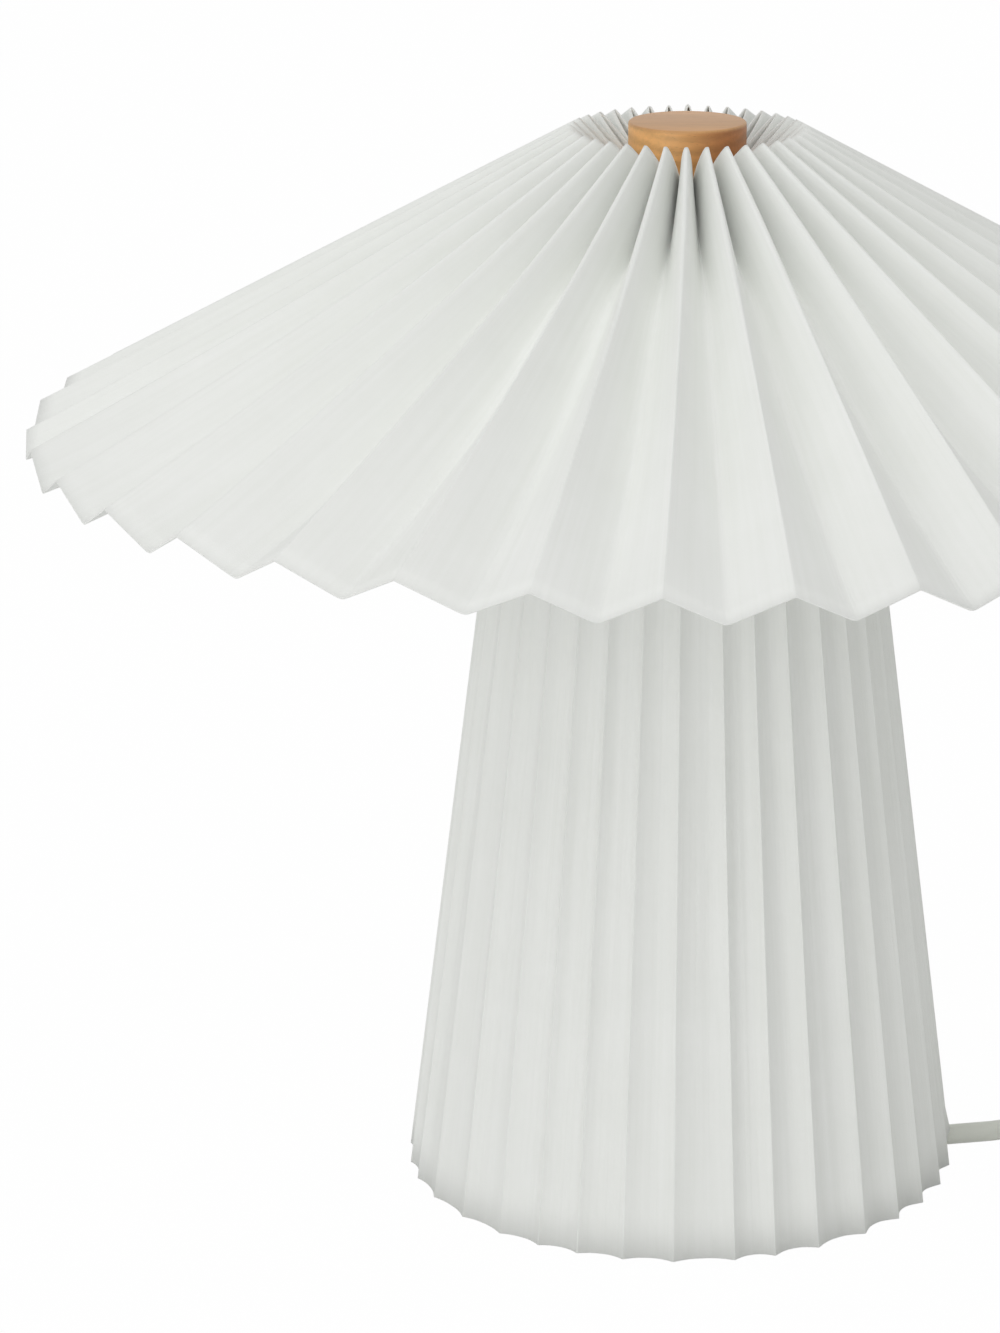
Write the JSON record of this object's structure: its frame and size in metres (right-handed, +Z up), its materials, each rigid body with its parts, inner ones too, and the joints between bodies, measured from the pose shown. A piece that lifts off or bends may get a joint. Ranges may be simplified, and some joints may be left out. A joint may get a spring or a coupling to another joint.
{
  "type": "table lamp",
  "caption": "Table lamp with a pleated paper cone shade over a pleated paper trunk, a screw-on wooden cap and a mains cord with a rocker switch.",
  "frame": {"origin": "on the floor at the lamp's vertical axis, under the middle of the base", "axes": "+Z up along the lamp's axis, -Y the front as pictured, +X the side on which the cord leaves"},
  "size_m": [0.45, 0.45, 0.3755],
  "materials": {
    "paper": "matt, pleated",
    "plate_steel": "white powder coat",
    "white_metal": "white powder coat",
    "felt": "felt",
    "zinc": "zinc plated",
    "cord_plastic": "matt light grey",
    "holder_plastic": "matt white",
    "porcelain": "glazed",
    "brass": "satin",
    "nickel": "nickel plated",
    "bulb_white": "gloss white",
    "board": "white lacquered board",
    "bulb_opal": "opal",
    "hub_plastic": "matt white",
    "wood": "oiled, turned",
    "tie": "hook and loop"
  },
  "bodies": {
    "base": {"trunk_paper": "paper", "base_plate": "plate_steel", "felt_feet": "felt", "trunk_ring": "white_metal", "spider_plate": "white_metal", "spider_band": "white_metal", "spider_arms": "white_metal", "ring_screws": "zinc", "bridge_screws": "zinc", "clamp_screws": "zinc", "stem_nuts": "zinc", "stem_tube": "zinc", "stem_bridge": "plate_steel", "cord_clamp": "zinc", "cord_grommet": "cord_plastic", "inner_lead": "cord_plastic", "lampholder_cap": "holder_plastic", "lampholder_sleeve": "holder_plastic", "shade_rings": "holder_plastic", "lampholder_core": "porcelain", "socket_shell": "brass", "socket_contact": "brass", "harp_saddle": "white_metal", "harp_wire": "white_metal", "harp_sleeves": "brass", "finial_stud": "brass", "lead_to_switch": "cord_plastic", "lead_to_coil": "cord_plastic", "lead_coil": "cord_plastic", "lead_to_plug": "cord_plastic", "coil_tie": "tie", "switch_bottom": "cord_plastic", "switch_top": "cord_plastic", "rocker_pin": "zinc", "switch_screws": "zinc", "switch_terminals": "brass", "plug_body": "cord_plastic", "plug_pins": "nickel"},
    "bulb": {"bulb_cap": "nickel", "bulb_tip": "nickel", "bulb_base": "bulb_white", "led_board": "board", "bulb_globe": "bulb_opal"},
    "shade": {"shade_paper": "paper", "shade_hub": "hub_plastic"},
    "washer": {"cap_washer": "hub_plastic"},
    "knob": {"wood_cap": "wood", "cap_insert": "brass"},
    "rocker": {"switch_rocker": "cord_plastic"}
  },
  "joints": [
    {"name": "shade_lift", "type": "slide", "parent": "base", "child": "shade", "axis": [0, 0, 1], "range_m": [0, 0.15]},
    {"name": "knob_rise", "type": "slide", "parent": "shade", "child": "washer", "axis": [0, 0, 1], "range_m": [0, 0.01]},
    {"name": "knob_turn", "type": "hinge", "parent": "washer", "child": "knob", "pos_m": [0, 0, 0.36], "axis": [0, 0, 1], "range_deg": [0, 3600]},
    {"name": "bulb_turn", "type": "hinge", "parent": "base", "child": "bulb", "pos_m": [0, 0, 0.23], "axis": [0, 0, 1], "range_deg": [0, 1260]},
    {"name": "switch_press", "type": "hinge", "parent": "base", "child": "rocker", "pos_m": [0.143, 0.122, 0.015], "axis": [-1, 0, 0], "range_deg": [0, 14]}
  ],
  "couplings": [
    {"joint": "knob_rise", "follows": "knob_turn", "m_per_rad": 0.00015915}
  ]
}
